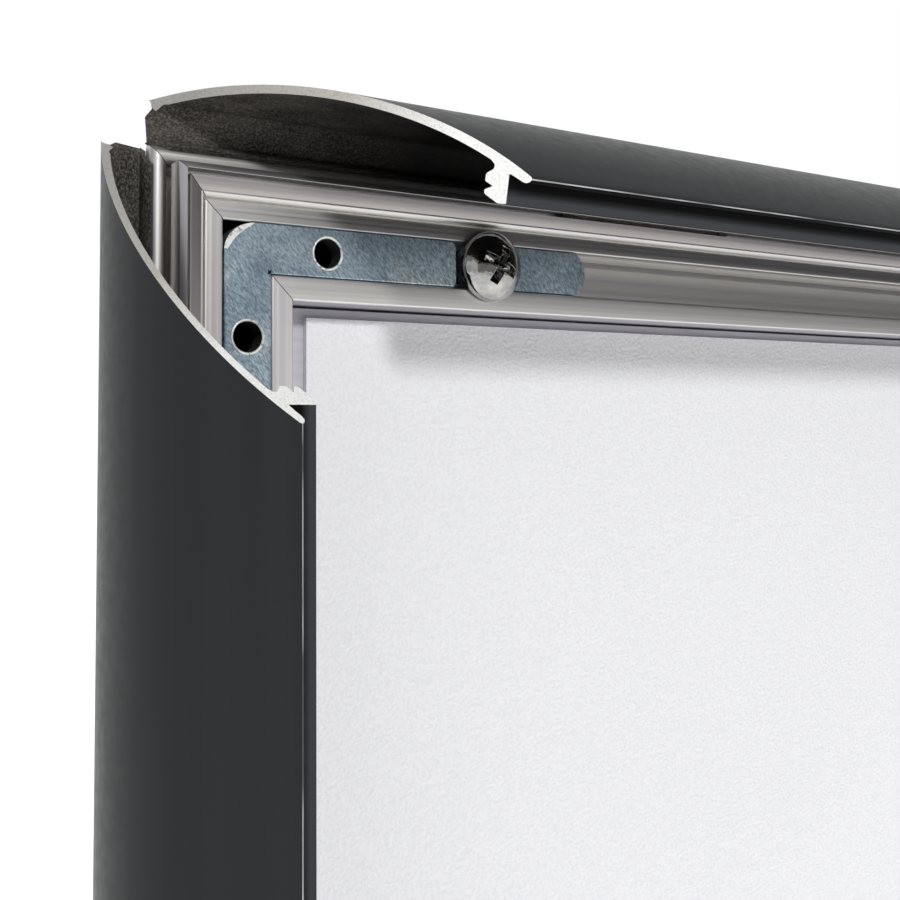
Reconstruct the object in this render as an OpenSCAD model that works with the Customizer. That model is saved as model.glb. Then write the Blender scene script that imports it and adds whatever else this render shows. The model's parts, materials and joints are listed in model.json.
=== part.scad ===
// Folding pavement sign (A-board) built from two hinged snap frames.
//
// World frame: millimetres, +Z up, the floor is Z = 0, the front panel faces -Y.
// The origin lies on the floor midway between the four feet.
// Panel frame: X to the viewer's right, Y up the slope from the frame's bottom edge,
// Z out of the panel's face, with Z = 0 at the lips of the bracket channel.
// Edge frame: X along one side of the frame, Y inward from its outer edge, Z as above.

/* [Sign] */
// Outer width of the front snap frame
frame_w = 640; // [620:1:700]
// Outer width of the rear snap frame, narrower so that its legs fold in between the front legs
rear_w = 574; // [572:1:575]
// Outer height of both snap frames, along their slopes
frame_h = 887; // [840:1:900]
// Lean of each panel from upright when the sign stands open
lean = 13; // [11:0.5:15]
// Height of the top hinge axis above the floor
axis_height = 1000; // [960:1:1100]

/* [Covers at rest] */
// How far the front panel's top cover stands open
top_cover_open = 77.8; // [0:0.1:88]
// How far the front panel's left cover stands open
left_cover_open = 80.9; // [0:0.1:88]

/* [Base profile] */
// Outer edge of the frame to the bracket channel
channel_start = 8.4; // [8.2:0.1:8.6]
// Width of the bracket channel between its lips
channel_w = 6.1; // [6:0.05:6.3]
// Outer edge of the frame to the inner edge of the inner lip
inner_lip_end = 17.5; // [17.2:0.1:18]
// Full width of the profile
profile_w = 32; // [31:0.5:34]
// Depth of the profile behind the lips
base_depth = 8.2; // [8.1:0.05:8.3]
// Thickness of the back web and of the sheet flange
web = 1; // [0.8:0.1:1.2]

/* [Snap cover] */
// Wall thickness of the bowed cover
cover_wall = 0.98; // [0.8:0.02:1.1]
// Rise of the cover's bow above the line from its nose to its tip
cover_bow = 5.18; // [5:0.02:5.5]
// Air between two closed covers, along the side, at each mitre
cover_mitre_gap = 0.3; // [0.2:0.05:0.5]

/* [Fasteners] */
// Shank diameter of the machine screws
screw_d = 5; // [4.9:0.1:5]
// Head diameter of the machine screws
screw_head_d = 9.5; // [9:0.1:9.8]
// Outer edge of the frame to the first hinge screw, along the top side
hinge_screw_at = 46.6; // [44:0.1:50]
// Length of one arm of a corner bracket, from the channel's corner
bracket_arm = 32.8; // [28:0.1:33]
// Diameter of the plain holes in a corner bracket
bracket_hole_d = 3.7; // [3:0.1:4]

/* [Legs and stays] */
// Width of a leg tube
leg_w = 25; // [24:0.5:26]
// Thickness of a leg tube
leg_t = 10; // [9.5:0.1:10.5]
// Pivot to pin length of a stay, and distance from the hinge axis to its front pivot
stay_length = 250; // [220:1:260]
// Width of a stay
stay_w = 16; // [12:1:18]

/* [Hidden] */
$fn = 64;

// Places shared by several parts
axis_below_top = 24;
axis_behind_lips = 21;
channel_mid = channel_start + channel_w / 2;
back_z = -base_depth;
plate_t = 2;
plate_gap = 0.05;
far = 60;
base_mitre_gap = 0.06;

// Cover hinge: a round bead on the base, with the cover's hook around it
bead_at = [1.33, -2.85];
bead_r = 1.15;
hook_r = 1.22;
hook_wall = 0.65;
hook_sweep = [48, 135];
hook_room = 0.28;

// Cover outline, measured from the bead's centre
cover_nose = [-1.31, 6.2];
cover_tip = [30.7, 2.46];

// Corner bracket, fixing plate and screw
bracket_t = 2.5;
bracket_top = 0.15;
ledge_w = 0.8;
bracket_hole_at = 13.6;
bracket_corner_r = 4;
fixing_plate = [-3.9, 17];
fixing_end_r = 3.4;
screw_seat = bracket_top + 0.05;
screw_head_h = 3.2;
screw_length = 15.2;
nut_flats_r = 4.62;
nut_h = 4;
hole_play = 0.2;

// Leaf springs stand in a groove beside the ridge
spring_groove = [3.2, 3.74];
spring_start = 58.5;
spring_length = 33.3;
spring_t = 0.4;
spring_top = 1.55;
spring_bottom = 0.15;
spring_tab = 1.8;
spring_waist = 0.9;

// Sheet and back panel
sheet_inset = [21.3, 19.1];
sheet_top = -4;
sheet_t = 0.8;
panel_inset = 17.9;
panel_t = 2.3;

// Legs and feet
sole_room = 8.3;
leg_below_frame = axis_height / cos(lean) - (frame_h - axis_below_top) - sole_room;
leg_above_edge = 160;
leg_wall = 1.5;
leg_front_wall = plate_t;
leg_mid = profile_w / 2;
leg_screws = [60, 130];
foot_wall = 1.6;
foot_h = 46;
foot_sole = 14;
foot_fit = 0.05;
leg_front_z = back_z - plate_gap;

// Top hinge
knuckle_r = 4.5;
pin_r = 2.5;
running_fit = 0.06;
hinge_mid = (frame_w + rear_w) / 4 - hinge_screw_at;
knuckle_half = 7.2;
knuckle_w = 8;
knuckle_gap = 0.3;
knuckle_web = 5;
leaf_half_w = 25;
leaf_span = [-6, 22];

// Stays: a bar pivoted on the front panel, its pin in a slotted track on the rear panel
fold_angle = 2 * lean;
track_travel = [2 * stay_length * cos(fold_angle), 2 * stay_length];
stay_t = 2;
stay_air = 0.4;
stay_x = frame_w / 2 - profile_w;
stay_flange_reach = 7;
stay_ear = 5;
stay_plate_half = 19;
stay_plate_w = 28;
stay_screws = [-12, 12];
track_end = 11;
track_screws = [5.6, -5];
rivet_head_r = 4.6;
rivet_head_t = 1.4;

function side_length(side) = (side == "top" || side == "bottom") ? $panel_w : frame_h;
function bow_radius(chord, rise) = (chord * chord / 4 + rise * rise) / (2 * rise);
// Distance from the frame's top edge, from a distance below the hinge axis
function from_top(below_axis) = axis_below_top + below_axis;
// Screw stations on a stile, measured down from its top end
stations_legs = [for (s = leg_screws) frame_h - s];
stations_front = concat([for (s = stay_screws) from_top(stay_length) + s], stations_legs);
stations_rear = concat(
    [from_top(track_travel[0]) + track_screws[0], from_top(track_travel[1]) + track_screws[1]],
    stations_legs
);
function stations_top() = [hinge_screw_at, $panel_w - hinge_screw_at];

// ---------- placing ----------

// Panel frame of a panel that leans to the front
module leaning()
    translate([0, 0, axis_height])
        rotate([90 - lean, 0, 0])
            translate([0, axis_below_top - frame_h, axis_behind_lips])
                children();

// Panel frame on each panel. $panel_w is the width of the panel being drawn.
module on_front() {
    $panel_w = frame_w;
    leaning() children();
}

module on_rear() {
    $panel_w = rear_w;
    rotate([0, 0, 180]) leaning() children();
}

// Edge frame of one side: X runs counter-clockwise round the frame, seen from its face
module at_side(side) {
    half = $panel_w / 2;
    if (side == "top") translate([half, frame_h, 0]) rotate([0, 0, 180]) children();
    if (side == "bottom") translate([-half, 0, 0]) children();
    if (side == "left") translate([-half, frame_h, 0]) rotate([0, 0, -90]) children();
    if (side == "right") translate([half, 0, 0]) rotate([0, 0, 90]) children();
}

// Every screw of one panel, with X along the channel: up a stile, inward from the top corners
module at_screws(stations) {
    at_side("top")
        for (s = stations_top())
            translate([s, channel_mid, 0])
                mirror([s > $panel_w / 2 ? 1 : 0, 0, 0])
                    children();
    for (s = stations) {
        at_side("left") translate([s, channel_mid, 0]) mirror([1, 0, 0]) children();
        at_side("right") translate([frame_h - s, channel_mid, 0]) children();
    }
}

// A profile drawn in (inward, outward) and run along the side, cut to a mitre at both ends
module mitred(length, gap) {
    module beyond_mitre()
        translate([gap, 0, -far])
            rotate([0, 0, 45])
                translate([-far, 0, 0])
                    cube([3 * far, far, 2 * far]);
    difference() {
        rotate([90, 0, 90])
            linear_extrude(length)
                children();
        beyond_mitre();
        translate([length, 0, 0])
            mirror([1, 0, 0])
                beyond_mitre();
    }
}

// ---------- snap frame ----------

// Section of the base extrusion
module base_section() {
    ridge_outer = [2.4, 1.38];
    ridge_crest = [spring_groove[0], 2.02];
    flute_top = [spring_groove[1], 1.3];
    flute_end = [5.49, 0.79];
    strip_start = [6.1, -0.17];
    outer_wall = 0.9;
    channel_end = channel_start + channel_w;
    ledge_z = bracket_top - bracket_t - 0.1;
    groove_floor = 0;
    flute_w = 0.55;
    flute_depth = 0.22;
    outer_chamber = [3.2, 6];
    inner_chamber = [2, 3.7];
    neck = [2.7, 1.2];
    neck_angle = -62;
    difference() {
        polygon([
            [outer_wall, back_z],
            [profile_w, back_z],
            [profile_w, back_z + web],
            [inner_lip_end, back_z + web],
            [inner_lip_end, 0],
            [channel_end, 0],
            [channel_end, ledge_z],
            [channel_end - ledge_w, ledge_z],
            [channel_end - ledge_w, back_z + web],
            [channel_start + ledge_w, back_z + web],
            [channel_start + ledge_w, ledge_z],
            [channel_start, ledge_z],
            [channel_start, 0],
            strip_start,
            flute_end,
            flute_top,
            [flute_top[0], groove_floor],
            [ridge_crest[0], groove_floor],
            ridge_crest,
            ridge_outer,
            [ridge_outer[0], bead_at[1]],
            [outer_wall, bead_at[1]],
        ]);
        // room for the cover's hook to turn
        translate(bead_at) circle(hook_r + hook_wall + hook_room);
        // two flutes along the sloping face
        for (i = [1, 2])
            translate(flute_top + (flute_end - flute_top) * (i / 3))
                rotate(45)
                    square([flute_w, flute_depth * 2], center = true);
        // closed chambers that keep the extrusion light
        translate([4.4, back_z + web]) square(outer_chamber);
        translate([14.6, back_z + web]) square(inner_chamber);
    }
    translate(bead_at) {
        circle(bead_r);
        rotate(neck_angle) translate([0, -neck[1] / 2]) square(neck);
    }
}

// One side of the base frame, with a clearance hole at each screw station
module base_side(side, stations)
    color("silver")
        at_side(side)
            difference() {
                mitred(side_length(side), base_mitre_gap) base_section();
                for (s = stations)
                    translate([s, channel_mid, back_z - 1])
                        cylinder(h = base_depth + 2, d = screw_d + 2 * hole_play);
            }

module top_rail() base_side("top", stations_top());
module bottom_rail() base_side("bottom", []);
module left_stile(stations) base_side("left", stations);
module right_stile(stations) base_side("right", [for (s = stations) frame_h - s]);

// Section of the bowed cover, about the bead's centre
module cover_section() {
    chord = cover_tip - cover_nose;
    along = chord / norm(chord);
    outward = [-along[1], along[0]];
    bow_r = bow_radius(norm(chord), cover_bow);
    bow_mid = (cover_nose + cover_tip) / 2 + outward * (cover_bow - bow_r);
    hook_outer = hook_r + hook_wall;
    flange_foot = [-1.1, 1.1];
    flange_in = -0.66;
    // bowed wall
    intersection() {
        translate(bow_mid)
            difference() {
                circle(bow_r, $fn = 256);
                circle(bow_r - cover_wall, $fn = 256);
            }
        polygon([
            cover_nose - along,
            cover_tip + along,
            cover_tip + along + outward * far,
            cover_nose - along + outward * far,
        ]);
    }
    // outer flange, with the small waist under its nose
    polygon([
        cover_nose + [0.16, 0.04],
        [-0.95, 5.33],
        [-1.5, 4.3],
        flange_foot,
        [flange_in, 1.3],
        [flange_in, 5],
        [0.6, 6.5],
    ]);
    // hook round the bead
    intersection() {
        difference() {
            circle(hook_outer);
            circle(hook_r);
        }
        polygon([
            [0, 0],
            far * [cos(hook_sweep[0]), sin(hook_sweep[0])],
            far * [0, 1],
            far * [cos(hook_sweep[1]), sin(hook_sweep[1])],
        ]);
    }
    // clamping rib behind the tip, with its two small barbs
    polygon([
        [27.7, 4.3],
        [27.7, 2.9],
        [27.1, 2.3],
        [27.1, 1.45],
        [27.75, 1],
        [27.1, 0.5],
        [27.15, 0.05],
        [28.25, -0.84],
        [28.95, -0.84],
        [28.95, 3.3],
    ]);
}

// One snap cover, opened about its bead
module snap_cover(side, open)
    color([0.12, 0.13, 0.14])
        at_side(side)
            translate([0, bead_at[0], bead_at[1]])
                rotate([open, 0, 0])
                    translate([0, -bead_at[0], -bead_at[1]])
                        mitred(side_length(side), cover_mitre_gap)
                            translate(bead_at) cover_section();

// The corner places of one panel: bracket frame with X and Y along the two channels
module at_corners()
    for (sx = [0, 1], sy = [0, 1])
        mirror([sx, 0, 0])
            translate([-$panel_w / 2 + channel_start, sy * frame_h, 0])
                mirror([0, sy, 0])
                    translate([0, channel_start, 0])
                        children();

// L-shaped corner bracket lying in the channels
module corner_bracket() {
    play = 0.08;
    arm_w = channel_w - 2 * play;
    translate([play, play, bracket_top - bracket_t])
        difference() {
            union() {
                translate([bracket_corner_r, 0, 0])
                    cube([bracket_arm - bracket_corner_r, arm_w, bracket_t]);
                translate([0, bracket_corner_r, 0])
                    cube([arm_w, bracket_arm - bracket_corner_r, bracket_t]);
                intersection() {
                    translate([bracket_corner_r, bracket_corner_r, -1])
                        cylinder(h = bracket_t + 2, r = bracket_corner_r);
                    cube([arm_w, arm_w, bracket_t]);
                }
                translate([bracket_corner_r, bracket_corner_r, 0])
                    cube([arm_w - bracket_corner_r, arm_w - bracket_corner_r, bracket_t]);
            }
            for (p = [[bracket_hole_at, arm_w / 2], [arm_w / 2, bracket_hole_at]])
                translate([p[0], p[1], -1])
                    cylinder(h = bracket_t + 2, d = bracket_hole_d);
        }
}

module corner_brackets()
    color([0.62, 0.68, 0.74])
        at_corners()
            corner_bracket();

// Leaf springs, two in the groove of each side
module leaf_springs() {
    groove_mid = (spring_groove[0] + spring_groove[1]) / 2;
    module spring()
        translate([0, groove_mid - spring_t / 2, spring_bottom]) {
            cube([spring_length, spring_t, spring_waist]);
            cube([spring_tab, spring_t, spring_top - spring_bottom]);
            translate([spring_length - spring_tab, 0, 0])
                cube([spring_tab, spring_t, spring_top - spring_bottom]);
        }
    color([0.2, 0.17, 0.15])
        for (side = ["top", "bottom", "left", "right"])
            at_side(side)
                for (x = [spring_start, side_length(side) - spring_start - spring_length])
                    translate([x, 0, 0])
                        spring();
}

// Small plates in the channel under the screw heads, with rounded ends
module fixing_plates(stations) {
    plate_w = channel_w - 0.2;
    length = fixing_plate[1] - fixing_plate[0];
    color([0.6, 0.65, 0.7])
        at_screws(stations)
            translate([0, 0, bracket_top - bracket_t])
                difference() {
                    intersection() {
                        translate([fixing_plate[0], -plate_w / 2, 0])
                            cube([length, plate_w, bracket_t]);
                        union() {
                            for (x = [fixing_plate[0] + fixing_end_r, fixing_plate[1] - fixing_end_r])
                                translate([x, 0, 0])
                                    cylinder(h = bracket_t, r = fixing_end_r);
                            translate([fixing_plate[0] + fixing_end_r, -fixing_end_r, 0])
                                cube([length - 2 * fixing_end_r, 2 * fixing_end_r, bracket_t]);
                        }
                    }
                    translate([0, 0, -1])
                        cylinder(h = bracket_t + 2, d = screw_d + hole_play);
                }
}

// Pan-head machine screws with a cross recess
module frame_screws(stations) {
    rim = 1;
    head_r = screw_head_d / 2;
    dome_rise = screw_head_h - rim;
    dome_r = bow_radius(screw_head_d, dome_rise);
    recess = [5.2, 1.1, 2.1];
    color([0.75, 0.76, 0.78])
        at_screws(stations)
            translate([0, 0, screw_seat]) {
                difference() {
                    intersection() {
                        cylinder(h = screw_head_h, r = head_r);
                        translate([0, 0, screw_head_h - dome_r]) sphere(dome_r, $fn = 96);
                    }
                    for (a = [45, 135])
                        rotate([0, 0, a])
                            translate([-recess[0] / 2, -recess[1] / 2, screw_head_h - recess[2]])
                                cube([recess[0], recess[1], recess[2] + 1]);
                }
                translate([0, 0, -screw_length]) cylinder(h = screw_length + 0.1, d = screw_d);
            }
}

// Hexagon nuts behind the hinge leaves, stay brackets and legs
module frame_nuts(stations)
    color([0.7, 0.71, 0.73])
        at_screws(stations)
            translate([0, 0, back_z - plate_t - 2 * plate_gap - nut_h])
                difference() {
                    cylinder(h = nut_h, r = nut_flats_r, $fn = 6);
                    translate([0, 0, -1]) cylinder(h = nut_h + 2, d = screw_d + 0.1);
                }

// Stiff back panel resting on the sheet flange
module back_panel()
    color([0.8, 0.8, 0.8])
        translate([-$panel_w / 2 + panel_inset, panel_inset, sheet_top - sheet_t - plate_gap - panel_t])
            cube([$panel_w - 2 * panel_inset, frame_h - 2 * panel_inset, panel_t]);

// Plain white sheet under the cover lips
module poster_sheet()
    color("white")
        translate([-$panel_w / 2 + sheet_inset[0], sheet_inset[1], sheet_top - sheet_t])
            cube([$panel_w - 2 * sheet_inset[0], frame_h - 2 * sheet_inset[1], sheet_t]);

// ---------- legs and feet ----------

// Place of a leg: its front face, at the frame's bottom edge, on the stile's middle line
module at_leg(s) translate([s * ($panel_w / 2 - leg_mid), 0, leg_front_z]) children();

// Rectangular leg tube behind the lower end of a stile
module leg(s)
    color("silver")
        difference() {
            at_leg(s)
                translate([-leg_w / 2, -leg_below_frame, -leg_t])
                    difference() {
                        cube([leg_w, leg_below_frame + leg_above_edge, leg_t]);
                        translate([leg_wall, -1, leg_wall])
                            cube([
                                leg_w - 2 * leg_wall,
                                leg_below_frame + leg_above_edge + 2,
                                leg_t - leg_wall - leg_front_wall,
                            ]);
                    }
            for (y = leg_screws)
                translate([s * ($panel_w / 2 - channel_mid), y, leg_front_z - leg_front_wall - 1])
                    cylinder(h = leg_front_wall + 2, d = screw_d + 2 * hole_play);
        }

// Moulded foot around the lower end of a leg, before its sole is cut level
module foot(s) {
    outer = [leg_w + 2 * foot_wall, foot_h, leg_t + 2 * foot_wall];
    color([0.08, 0.08, 0.08])
        at_leg(s)
            difference() {
                translate([-outer[0] / 2, -leg_below_frame - foot_sole, -leg_t - foot_wall])
                    cube(outer);
                translate([-leg_w / 2 - foot_fit, -leg_below_frame - foot_fit, -leg_t - foot_fit])
                    cube([leg_w + 2 * foot_fit, foot_h, leg_t + 2 * foot_fit]);
            }
}

// Everything above the floor
module above_floor()
    difference() {
        children();
        translate([-frame_w, -frame_w, -2 * far]) cube([2 * frame_w, 2 * frame_w, 2 * far]);
    }

// ---------- top hinge ----------

// Frame of the hinge axis inside a panel: Y up the slope, Z out of the face
module at_axis() translate([0, frame_h - axis_below_top, -axis_behind_lips]) children();

// Leaf with its knuckles: spans lists where each knuckle starts and ends across the leaf
module hinge_leaf(s, spans, bore) {
    screw_x = s * ($panel_w / 2 - hinge_screw_at - hinge_mid);
    leaf_z = axis_behind_lips + back_z - plate_gap;
    leaf_size = [2 * leaf_half_w, leaf_span[1] - leaf_span[0], plate_t];
    difference() {
        union() {
            translate([-leaf_half_w, leaf_span[0], leaf_z - plate_t]) cube(leaf_size);
            for (span = spans)
                translate([span[0], 0, 0]) {
                    rotate([0, 90, 0]) cylinder(h = span[1] - span[0], r = knuckle_r);
                    translate([0, -knuckle_web / 2, 0])
                        cube([span[1] - span[0], knuckle_web, leaf_z - plate_t / 2]);
                }
        }
        translate([-2 * leaf_half_w, 0, 0]) rotate([0, 90, 0]) cylinder(h = 4 * leaf_half_w, r = bore);
        translate([screw_x, axis_below_top - channel_mid, leaf_z - plate_t - 1])
            cylinder(h = plate_t + 2, d = screw_d + 2 * hole_play);
    }
}

module hinge_leaves(spans, bore)
    color([0.15, 0.15, 0.16])
        for (s = [-1, 1])
            at_axis()
                translate([s * hinge_mid, 0, 0])
                    hinge_leaf(s, spans, bore);

outer_knuckles = [
    [-knuckle_half - knuckle_gap - knuckle_w, -knuckle_half - knuckle_gap],
    [knuckle_half + knuckle_gap, knuckle_half + knuckle_gap + knuckle_w],
];
middle_knuckle = [[-knuckle_half, knuckle_half]];

// Hinge pins with a head at each end, held in the front leaves
module hinge_pins() {
    half = knuckle_half + knuckle_gap + knuckle_w;
    head_t = 1.5;
    head_r = 3.7;
    color([0.7, 0.71, 0.73])
        on_front()
            at_axis()
                for (s = [-1, 1])
                    translate([s * hinge_mid - half, 0, 0])
                        rotate([0, 90, 0]) {
                            cylinder(h = 2 * half, r = pin_r);
                            translate([0, 0, -head_t]) cylinder(h = head_t, r = head_r);
                            translate([0, 0, 2 * half]) cylinder(h = head_t, r = head_r);
                        }
}

// ---------- stays ----------

// Upright flange of a stay fitting: a round-ended plate across the hinge axis line
module stay_flange(y0, y1)
    rotate([0, 90, 0]) {
        for (y = [y0, y1])
            translate([0, y, 0])
                cylinder(h = stay_t, r = stay_flange_reach);
        translate([-stay_flange_reach, y0, 0])
            cube([2 * stay_flange_reach, y1 - y0, stay_t]);
    }

// Fitting on a right stile's back: an upright flange, and a screwed plate that starts at plate_x
module stay_fitting(plate_x, y0, y1, reach, screws) {
    top_z = axis_behind_lips + back_z - plate_gap;
    difference() {
        union() {
            translate([plate_x, y0 - reach, top_z - plate_t])
                cube([stay_plate_w, y1 - y0 + 2 * reach, plate_t]);
            stay_flange(y0, y1);
            translate([0, y0 - stay_flange_reach, 0])
                cube([stay_t, y1 - y0 + 2 * stay_flange_reach, top_z - plate_t / 2]);
        }
        for (y = screws)
            translate([$panel_w / 2 - channel_mid - stay_x, y, top_z - plate_t - 1])
                cylinder(h = plate_t + 2, d = screw_d + 2 * hole_play);
    }
}

// Front stay brackets, each with a hole for the pivot rivet
module front_stay_brackets()
    color([0.15, 0.15, 0.16])
        on_front()
            at_axis()
                for (side = [0, 1])
                    mirror([side, 0, 0]) translate([stay_x, 0, 0])
                        difference() {
                            stay_fitting(0, -stay_length - stay_ear, -stay_length + stay_ear,
                                stay_plate_half, [for (y = stay_screws) -stay_length - y]);
                            translate([-far, -stay_length, 0])
                                rotate([0, 90, 0])
                                    cylinder(h = 2 * far, r = pin_r);
                        }

// Rear tracks, each with a straight slot for the stay's pin
module rear_stay_tracks() {
    slot_r = pin_r + running_fit;
    slot = [-track_travel[1] - running_fit, -track_travel[0] + running_fit];
    color([0.15, 0.15, 0.16])
        on_rear()
            at_axis()
                for (side = [0, 1])
                    mirror([side, 0, 0]) translate([stay_x, 0, 0])
                        difference() {
                            stay_fitting(stay_t - stay_plate_w, slot[0], slot[1], track_end,
                                [-track_travel[0] - track_screws[0], -track_travel[1] - track_screws[1]]);
                            for (y = slot)
                                translate([-far, y, 0])
                                    rotate([0, 90, 0])
                                        cylinder(h = 2 * far, r = slot_r);
                            translate([-far, slot[0], -slot_r])
                                cube([2 * far, slot[1] - slot[0], 2 * slot_r]);
                        }
}

// Stay frame: X across the sign, Y along the bar from its front pivot
module at_stay(s)
    on_front()
        at_axis()
            translate([s * stay_x, -stay_length, 0])
                rotate([2 * fold_angle - 180, 0, 0])
                    children();

// Flat bar with round ends
module stay(s) {
    bar_x = s > 0 ? -stay_air - stay_t : stay_air;
    color([0.15, 0.15, 0.16])
        at_stay(s)
            translate([bar_x, 0, 0])
                difference() {
                    union() {
                        for (y = [0, stay_length])
                            translate([0, y, 0])
                                rotate([0, 90, 0])
                                    cylinder(h = stay_t, r = stay_w / 2);
                        translate([0, 0, -stay_w / 2]) cube([stay_t, stay_length, stay_w]);
                    }
                    translate([-1, 0, 0])
                        rotate([0, 90, 0])
                            cylinder(h = stay_t + 2, r = pin_r + running_fit);
                    translate([-1, stay_length, 0])
                        rotate([0, 90, 0])
                            cylinder(h = stay_t + 2, r = pin_r);
                }
}

// Headed pin across a stay and its fitting, at a distance along the stay
module stay_stud(s, y, inner_air, outer_air) {
    inner = stay_air + stay_t + inner_air;
    outer = stay_t + outer_air;
    mirror([s > 0 ? 0 : 1, 0, 0])
        translate([-inner, y, 0])
            rotate([0, 90, 0]) {
                cylinder(h = inner + outer, r = pin_r);
                translate([0, 0, -rivet_head_t]) cylinder(h = rivet_head_t, r = rivet_head_r);
                translate([0, 0, inner + outer]) cylinder(h = rivet_head_t, r = rivet_head_r);
            }
}

// Rivets that carry the stays on the front brackets
module stay_pivot_rivets()
    color([0.7, 0.71, 0.73])
        for (s = [-1, 1])
            at_stay(s)
                stay_stud(s, 0, stay_air, 0);

// Pin at the far end of a stay, sliding in the rear track
module stay_pin(s)
    color([0.7, 0.71, 0.73])
        at_stay(s)
            stay_stud(s, stay_length, 0, stay_air);

// ---------- front panel ----------
on_front() top_rail();  // front_top_rail
on_front() bottom_rail();  // front_bottom_rail
on_front() left_stile(stations_front);  // front_left_stile
on_front() right_stile(stations_front);  // front_right_stile
on_front() snap_cover("top", top_cover_open);  // front_top_cover
on_front() snap_cover("bottom", 0);  // front_bottom_cover
on_front() snap_cover("left", left_cover_open);  // front_left_cover
on_front() snap_cover("right", 0);  // front_right_cover
on_front() corner_brackets();  // front_corner_brackets
on_front() leaf_springs();  // front_leaf_springs
on_front() fixing_plates(stations_front);  // front_fixing_plates
on_front() frame_screws(stations_front);  // front_frame_screws
on_front() frame_nuts(stations_front);  // front_frame_nuts
on_front() back_panel();  // front_back_panel
on_front() poster_sheet();  // front_poster_sheet
on_front() leg(-1);  // front_left_leg
on_front() leg(1);  // front_right_leg
above_floor() on_front() foot(-1);  // front_left_foot
above_floor() on_front() foot(1);  // front_right_foot
on_front() hinge_leaves(outer_knuckles, pin_r);  // front_hinge_leaves
hinge_pins();
front_stay_brackets();
stay_pivot_rivets();

// ---------- stays ----------
stay(-1);  // left_stay
stay_pin(-1);  // left_stay_pin
stay(1);  // right_stay
stay_pin(1);  // right_stay_pin

// ---------- rear panel ----------
on_rear() top_rail();  // rear_top_rail
on_rear() bottom_rail();  // rear_bottom_rail
on_rear() left_stile(stations_rear);  // rear_left_stile
on_rear() right_stile(stations_rear);  // rear_right_stile
on_rear() snap_cover("top", 0);  // rear_top_cover
on_rear() snap_cover("bottom", 0);  // rear_bottom_cover
on_rear() snap_cover("left", 0);  // rear_left_cover
on_rear() snap_cover("right", 0);  // rear_right_cover
on_rear() corner_brackets();  // rear_corner_brackets
on_rear() leaf_springs();  // rear_leaf_springs
on_rear() fixing_plates(stations_rear);  // rear_fixing_plates
on_rear() frame_screws(stations_rear);  // rear_frame_screws
on_rear() frame_nuts(stations_rear);  // rear_frame_nuts
on_rear() back_panel();  // rear_back_panel
on_rear() poster_sheet();  // rear_poster_sheet
on_rear() leg(-1);  // rear_left_leg
on_rear() leg(1);  // rear_right_leg
above_floor() on_rear() foot(-1);  // rear_left_foot
above_floor() on_rear() foot(1);  // rear_right_foot
on_rear() hinge_leaves(middle_knuckle, pin_r + running_fit);  // rear_hinge_leaves
rear_stay_tracks();
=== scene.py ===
"""Looks of the folding snap-frame sign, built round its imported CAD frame. Metres throughout."""
import json
import math

import bmesh
import bpy
from mathutils import Matrix, Vector
from mathutils.geometry import tessellate_polygon


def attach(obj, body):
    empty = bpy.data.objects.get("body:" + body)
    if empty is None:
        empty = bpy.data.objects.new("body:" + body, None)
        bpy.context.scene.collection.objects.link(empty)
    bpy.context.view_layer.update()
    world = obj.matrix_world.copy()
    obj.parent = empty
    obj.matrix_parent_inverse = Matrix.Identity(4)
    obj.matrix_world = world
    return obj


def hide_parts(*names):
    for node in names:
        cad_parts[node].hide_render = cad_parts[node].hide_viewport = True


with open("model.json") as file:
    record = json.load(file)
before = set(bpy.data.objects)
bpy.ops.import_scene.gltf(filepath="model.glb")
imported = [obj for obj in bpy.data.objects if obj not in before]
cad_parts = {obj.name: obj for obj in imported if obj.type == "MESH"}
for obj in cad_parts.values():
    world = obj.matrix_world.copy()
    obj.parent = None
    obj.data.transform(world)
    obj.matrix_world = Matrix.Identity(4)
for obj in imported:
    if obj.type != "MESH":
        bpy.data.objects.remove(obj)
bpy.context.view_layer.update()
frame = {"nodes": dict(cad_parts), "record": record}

MM = 0.001
JOINTS = {j["name"]: j for j in frame["record"]["behaviour"]["joints"]}
PANELS = ("front", "rear")
SIDES = ("top", "bottom", "left", "right")

# ---------- places, worked out from the cover hinges ----------

BEAD = (1.33, -2.85)  # the cover hinge in a side's section: inward, outward, in mm
CHANNEL_START, CHANNEL_W = 8.4, 6.1
CHANNEL_MID = CHANNEL_START + CHANNEL_W / 2
SIDE_W, BACK_Z = 32, -8.2


def joint_place(panel, side):
    return Vector(JOINTS[f"{panel}_{side}_cover_snap"]["pos_m"])


def panel_matrix(panel):
    """Panel frame: X to the viewer's right, Y up the slope from the bottom, Z out of the face."""
    turn = -1 if panel == "rear" else 1
    x_axis = Vector((turn, 0, 0))
    up = -Vector(JOINTS[f"{panel}_left_cover_snap"]["axis"])
    out = x_axis.cross(up)
    origin = joint_place(panel, "bottom") - up * BEAD[0] * MM - out * BEAD[1] * MM
    m = Matrix((x_axis, up, out)).transposed().to_4x4()
    m.translation = origin
    return m


def panel_width(panel):
    return abs(joint_place(panel, "right").x - joint_place(panel, "left").x) / MM + 2 * BEAD[0]


FRAME_H = (joint_place("front", "top") - joint_place("front", "bottom")).length / MM + 2 * BEAD[0]


def side_length(panel, side):
    return panel_width(panel) if side in ("top", "bottom") else FRAME_H


def side_matrix(panel, side):
    """Side frame in the world: X along the side, Y inward from its outer edge, Z out of the face."""
    half = panel_width(panel) / 2
    corner, angle = {
        "top": ((half, FRAME_H, 0), 180),
        "bottom": ((-half, 0, 0), 0),
        "left": ((-half, FRAME_H, 0), -90),
        "right": ((half, 0, 0), 90),
    }[side]
    turn = Matrix.Rotation(math.radians(angle), 4, "Z")
    return panel_matrix(panel) @ Matrix.Translation(Vector(corner) * MM) @ turn


# ---------- outlines of the two extrusions, in mm ----------


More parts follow.
